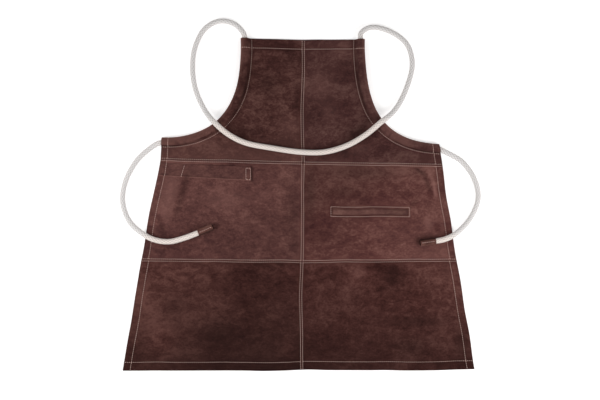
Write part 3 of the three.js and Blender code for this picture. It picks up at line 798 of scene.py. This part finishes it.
# Stitch lines, through points given as shares along and across the strap.
STRAP_ROWS = [[(0.245, 0), (0.268, 0.93)], [(0.066, 0), (0.066, 1)]]
STRAP_BOX = [(0.942, 0.07), (0.994, 0.07), (0.994, 0.9), (0.942, 0.9), (0.942, 0.07)]
low_steps = [0, 0.03, 0.07, 0.11]
along, across = np.meshgrid(np.linspace(0, 1, 84), np.concatenate([low_steps, np.linspace(0.16, 1, 13)]))
low_edge, high_edge = (a + (b - a) * along[..., None] for a, b in zip(STRAP_LEFT, STRAP_RIGHT))
strap = np.zeros(along.shape + (4,))
strap[..., :2] = low_edge + (high_edge - low_edge) * across[..., None]
strap[..., 2] = MID + 2 * LAYER + STRAP_ARCH * np.sin(np.pi * np.clip((along - 0.26) / 0.66, 0, 1))
# A painted highlight along the strap's lower cut edge, and a line of painted shade just above it.
strap[..., 3] = 0.75 * hump(across, 0, 0.035) - 0.3 * hump(across, 0.1, 0.04)
strap_hide = suede("strap_suede_split", "#452B29", "#5E3D39", "#755149", (9.1, 0.5, 0.3))
piece, area, (front,) = leather_sheet("hip_strap_suede", [strap], strap_hide)


def on_strap(start, end):
    """A straight stitch line over the strap."""
    rows, columns = front.shape[:2]
    line = []
    for t in np.linspace(0, 1, 12):
        u, v = start[0] + (end[0] - start[0]) * t, start[1] + (end[1] - start[1]) * t
        i, j = np.interp(v, across[:, 0], np.arange(rows)), u * (columns - 1)
        a, b = min(int(i), rows - 2), min(int(j), columns - 2)
        lower = front[a, b] * (b + 1 - j) + front[a, b + 1] * (j - b)
        upper = front[a + 1, b] * (b + 1 - j) + front[a + 1, b + 1] * (j - b)
        line.append(lower * (a + 1 - i) + upper * (i - a))
    return np.array(line)


sew("hip_strap_stitches", [on_strap(*ends) for ends in [*STRAP_ROWS, *zip(STRAP_BOX, STRAP_BOX[1:])]])
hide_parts("hip_strap")

# The rope: one length of white braided cotton. It starts in a leather end at the left hip, runs
# through the left casing, loops behind the neck, comes down through the right casing and ends at
# the right hip. It lies loose on the apron and on the table.
ROPE_RADIUS, ROPE_IN_CASING, ROPE_LENGTH = 6, 7.9, 2.54
# The braid: strands each way, the length in which one moves on by its own width, and mesh points
# for that.
STRANDS, STRAND_LEAD, STRAND_POINTS = 6, 9, 7
ROPE_SIDES, ROPE_STEP = STRANDS * STRAND_POINTS, STRAND_LEAD / STRAND_POINTS
STRAND_RELIEF = 0.7
# The leather ends: their length, how far the rope reaches in, their bore and outer radius.
TIP_LENGTH, TIP_GRIP, TIP_BORE, TIP_RADIUS = 37, 24, 6.5, 7.7
TIP_ENDS = {"left": (-191, -50, 9.6), "right": (275, -88.5, 11.6)}
LEFT_TIE = [(-226, -65, 9.6), (-258, -77, 9.4), (-291, -85, 9.2), (-324, -81, 9.6), (-352, -67, 9.4),
    (-382, -39, 6.5), (-397, 4, 6.5), (-391, 50, 6.5), (-365, 98, 6.5), (-338, 123.5, 7),
    (-321, 135, 7.9)]
NECK = [(-125, 388, 7.6), (-145, 407, 6.5), (-179, 413, 6.5), (-211, 396, 6.5), (-233, 355, 6.5),
    (-239, 308, 6.5), (-232, 258, 6.5), (-210, 210, 11), (-183, 178, 25.8), (-156, 156, 16),
    (-120, 138.5, 9.6), (-60, 126.5, 9), (10, 117, 9.8), (60, 117.6, 9), (110, 132, 9.6),
    (152, 156, 13.5), (185, 183, 25.5), (219, 213, 10), (246, 265, 6.5), (258, 318, 6.5),
    (245, 362, 6.5), (205, 391, 6.5), (163, 399, 6.5), (142, 386, 7.6)]
RIGHT_TIE = [(332, 117.5, 7.9), (347, 110, 7), (371, 95, 6.5), (398, 57, 6.5), (407, 14, 6.5),
    (390, -31, 6.5), (356, -67, 10.4), (331, -79.5, 11.6), (311, -83.5, 11.6)]
# How far the rope has slipped inwards in a casing, from its mouth at the waist to the bib's top.
MOUTH_SLIP = np.array([1.6, 0.5, 0, 0, 0, 0])
# Steps along the rope over which it follows a change of height or of colour.
EASE_STEPS = 45


def casing_route(side):
    """The rope's points in a casing, from the waist to the bib's top."""
    length, at = armhole(side)
    edge, inward = at(np.linspace(REACH, length - REACH, len(MOUTH_SLIP)))
    middle = edge + inward * (OVAL_INSET + MOUTH_SLIP)[:, None]
    return np.column_stack([middle + drift(*middle.T), np.full(len(MOUTH_SLIP), ROPE_IN_CASING)])


def grip(mouth, axis):
    """The rope's points inside a leather end, the deepest first."""
    return [mouth + axis * TIP_GRIP, mouth + axis * TIP_GRIP / 2]


def smooth_run(points, step):
    """Points at even steps on a smooth curve through a route's points."""
    p = np.vstack([2 * points[0] - points[1], points, 2 * points[-1] - points[-2]])
    t = np.linspace(0, 1, 60, endpoint=False)[:, None]
    parts = []
    for a, b, c, d in zip(p, p[1:], p[2:], p[3:]):
        before, here, after = (math.sqrt(np.linalg.norm(v)) for v in (b - a, c - b, d - c))
        leave = ((b - a) / before - (c - a) / (before + here) + (c - b) / here) * here
        arrive = ((c - b) / here - (d - b) / (here + after) + (d - c) / after) * here
        square, cube = 3 * (c - b) - 2 * leave - arrive, 2 * (b - c) + leave + arrive
        parts.append(b + leave * t + square * t ** 2 + cube * t ** 3)
    dense = np.vstack(parts + [points[-1:]])
    run = run_along(dense)
    return at_runs(np.linspace(0, run[-1], int(run[-1] / step) + 1), run, dense)


def half_outline(side):
    """A half's outer edge in plan, from the hem up to the bib's top."""
    length, at = armhole(side)
    edge, _ = at(np.linspace(0, length, 40))
    return [PATTERN[level][side] for level in ("hem", "skirt", "waist")] + edge.tolist()


def inside_outline(points, outline):
    """Whether points lie inside a closed outline, in plan."""
    inside = np.zeros(len(points), bool)
    for (x0, y0), (x1, y1) in zip(outline, outline[1:] + outline[:1]):
        crosses = (y0 > points[:, 1]) != (y1 > points[:, 1])
        inside ^= crosses & (points[:, 0] < x0 + (points[:, 1] - y0) * (x1 - x0) / (y1 - y0 + 1e-9))
    return inside


def eased(values):
    """Values along the rope, each averaged with those near it."""
    weights = np.hanning(EASE_STEPS) / np.hanning(EASE_STEPS).sum()
    return np.convolve(np.pad(values, EASE_STEPS // 2, mode="edge"), weights, mode="valid")


left_axis = unit(np.subtract(TIP_ENDS["left"], LEFT_TIE[0]))
right_axis = unit(np.subtract(TIP_ENDS["right"], RIGHT_TIE[-1]))
route = np.vstack([grip(LEFT_TIE[0], left_axis), LEFT_TIE, casing_route("left"), NECK,
                   casing_route("right")[::-1], RIGHT_TIE, grip(RIGHT_TIE[-1], right_axis)[::-1]])
rope_line = smooth_run(route, ROPE_STEP)

# Where the rope lies on the leather, it rises with the leather's waves.
on_leather = inside_outline(rope_line, half_outline("left") + half_outline("right")[::-1])
rope_line[:, 2] += eased(lay(rope_line[:, 0], rope_line[:, 1]) * on_leather)

# Two sets of strands cross over and under each other round a soft core.
heading = unit(np.gradient(rope_line, axis=0))
beside = [np.cross(heading[0], (0, 0, 1.0))]
for way in heading[1:]:
    beside.append(unit(beside[-1] - way * (beside[-1] @ way)))
beside[0] = beside[1]
beside = np.array(beside)
above = np.cross(beside, heading)
turn = 2 * np.pi * np.arange(ROPE_SIDES) / ROPE_SIDES
step = np.arange(len(rope_line))[:, None]
right_lay, left_lay = ((np.arange(ROPE_SIDES) + way * step + 0.5) / STRAND_POINTS for way in (1, -1))
left_over = (np.floor(right_lay) + np.floor(left_lay)) % 2 == 1
over_lay, under_lay = np.where(left_over, (left_lay, right_lay), (right_lay, left_lay)) % 1
strand = np.sin(np.pi * over_lay) * (0.6 + 0.4 * np.sin(np.pi * under_lay))
radius = ROPE_RADIUS - STRAND_RELIEF / 2 + STRAND_RELIEF * strand
around = beside[:, None] * np.cos(turn)[:, None] + above[:, None] * np.sin(turn)[:, None]
tube = rope_line[:, None] + radius[..., None] * around
ids = np.arange(tube.shape[0] * ROPE_SIDES).reshape(-1, ROPE_SIDES)
next_ids = np.roll(ids, -1, axis=1)
a, b, c, d = (corner.ravel() for corner in (ids[:-1], next_ids[:-1], next_ids[1:], ids[1:]))
# Each cell is split along its more level diagonal, so that the strands keep clean edges.
level = strand.ravel()
with_ac = (np.abs(level[a] - level[c]) <= np.abs(level[b] - level[d]))[:, None]
halves = [np.where(with_ac, np.stack([a, b, c], -1), np.stack([a, b, d], -1)),
          np.where(with_ac, np.stack([a, c, d], -1), np.stack([b, c, d], -1))]
faces = np.concatenate(halves)[:, ::-1].tolist()
faces += [ids[0].tolist(), ids[-1, ::-1].tolist()]

# Braided cotton: matt, with a soft fuzz and painted shade in its grooves. Away from the apron it is a
# little grey; where it lies on the leather it is a warm cream, a painted reflection of the brown suede.
cotton, tree = new_material("braided_cotton")
place = add_node(tree, "TexCoord"), "Object"
soil = noise(tree, place, 45, 3)
# Yarns are about 0.5 mm thick. They are drawn 1.2 mm thick, so that they show in the render.
yarn = noise(tree, place, 1.2, 2)
away_from_leather = blend(tree, soil, "#EFEBEA", "#E1DEDC")
warm_on_leather = blend(tree, soil, "#FCF0E9", "#EFE2D9")
leather_share = add_node(tree, "Attribute", attribute_name="warm_on_leather"), "Fac"
with_reflection = blend(tree, leather_share, away_from_leather, warm_on_leather)
# Painted shade in the grooves between the strands.
strand_height = add_node(tree, "Attribute", attribute_name="strand"), "Fac"
groove = ranged(tree, strand_height, 0.05, 0.5, 1.0, 0.0)
shade = blend(tree, groove, with_reflection, "#9E958F")
add_shader(tree, {"Roughness": 0.92, "Specular IOR Level": 0.2, "Sheen Weight": 0.25},
           {"Base Color": shade, "Normal": relief(tree, yarn, 0.4, 0.4)})
rope = add_object("cotton_rope", tube.reshape(-1, 3), faces, cotton, sharp=80)
set_values(rope, "strand", level)
# The share of the painted warm reflection, where the rope lies on the leather.
set_values(rope, "warm_on_leather", eased(on_leather.astype(float)).repeat(ROPE_SIDES))
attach(rope, "root")
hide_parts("rope")

# The rope's ends: a strip of leather rolled tight round the rope, its two edges butted and sewn
# along the top. The rope stops inside, so the far end, cut at a slant, shows a dark mouth; its bore is
# painted dark as shade as well.
TIP_SLANT, TIP_POINTS = 2, 56
# Where round the sleeve the butted edges and the row of stitches beside them lie, in degrees.
BUTT_ANGLE, TIP_STITCH_ANGLE = 106, 93
angle = np.linspace(0, 2 * np.pi, TIP_POINTS + 1)[:-1]
off_butt = np.abs((angle - np.radians(BUTT_ANGLE) + np.pi) % (2 * np.pi) - np.pi)
butt = 0.55 * hump(off_butt, 0, 0.09)
# Painted shade down one side of the sleeve and along its underside.
under = 0.85 * smooth((np.cos(angle) - 0.25) / 0.7) + 0.5 * smooth((0.1 - np.sin(angle)) / 0.4)
# Radius and place along the sleeve: in at its mouth, along the outside, and back in at the far end.
profile = [(TIP_BORE, 0.3), (TIP_BORE + 0.3, 0), (TIP_RADIUS - 0.5, 0), (TIP_RADIUS - 0.15, 0.4)]
profile += [(TIP_RADIUS - 0.2 * math.cos(3 * k) ** 2, k) for k in range(1, TIP_LENGTH)]
profile += [(TIP_RADIUS - 0.15, TIP_LENGTH - 0.4), (TIP_RADIUS - 0.5, TIP_LENGTH),
            (TIP_BORE + 0.3, TIP_LENGTH), (TIP_BORE, TIP_LENGTH - 0.3), (TIP_BORE, TIP_LENGTH / 2)]
SEWN = slice(6, TIP_LENGTH + 1)
tip_hide = suede("tip_suede_split", "#452B27", "#63413A", "#7B5850", (3.3, 0.8, 0.4))
tips = []
for side, mouth, axis in (("left", LEFT_TIE[0], left_axis), ("right", RIGHT_TIE[-1], right_axis)):
    flat_way = unit(np.cross(axis, (0, 0, 1.0)))
    top_way = np.cross(flat_way, axis)
    mouth = np.add(mouth, (0, 0, lay(*mouth[:2])))
    outward = flat_way * np.cos(angle)[:, None] + top_way * np.sin(angle)[:, None]
    rings, tone_and_painted_light = [], []
    for r, s in profile:
        pull = (r - butt * (r > TIP_BORE + 0.4))[:, None]
        slant = TIP_SLANT * smooth((s - TIP_LENGTH + 8) / 8) * (0.5 + 0.5 * np.sin(angle))[:, None]
        rings.append(mouth + axis * (s - slant) + pull * outward)
        cut_rim = 0.7 * (min(s, TIP_LENGTH - s) < 0.35) * (r > TIP_BORE)
        # Painted shade: the bore dark, the groove of the butted edges darker, and the sides as above.
        # The cut rims are paler.
        tone_and_painted_light.append(np.full(TIP_POINTS, -1.0) if r == TIP_BORE else cut_rim - 0.5 * butt - under)
    rings = np.array(rings)
    ids = np.arange(rings.shape[0] * TIP_POINTS).reshape(-1, TIP_POINTS)
    ring_on = np.roll(ids, -1, axis=0)
    quads = np.stack([ids, np.roll(ids, -1, axis=1), np.roll(ring_on, -1, axis=1), ring_on], -1)
    quads = quads.reshape(-1, 4)[:, ::-1]
    tip = add_object("tip_%s_suede" % side, rings.reshape(-1, 3), quads, tip_hide, sharp=60)
    set_values(tip, "tone_and_painted_light", np.array(tone_and_painted_light).ravel())
    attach(tip, "root")
    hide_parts("tip_" + side)
    k = np.argmin(np.abs(angle - np.radians(TIP_STITCH_ANGLE)))
    line = rings[SEWN, k]
    line = np.concatenate([line, np.broadcast_to(outward[k], line.shape)], -1)
    tips += [tip, sew("tip_%s_stitches" % side, [line])]
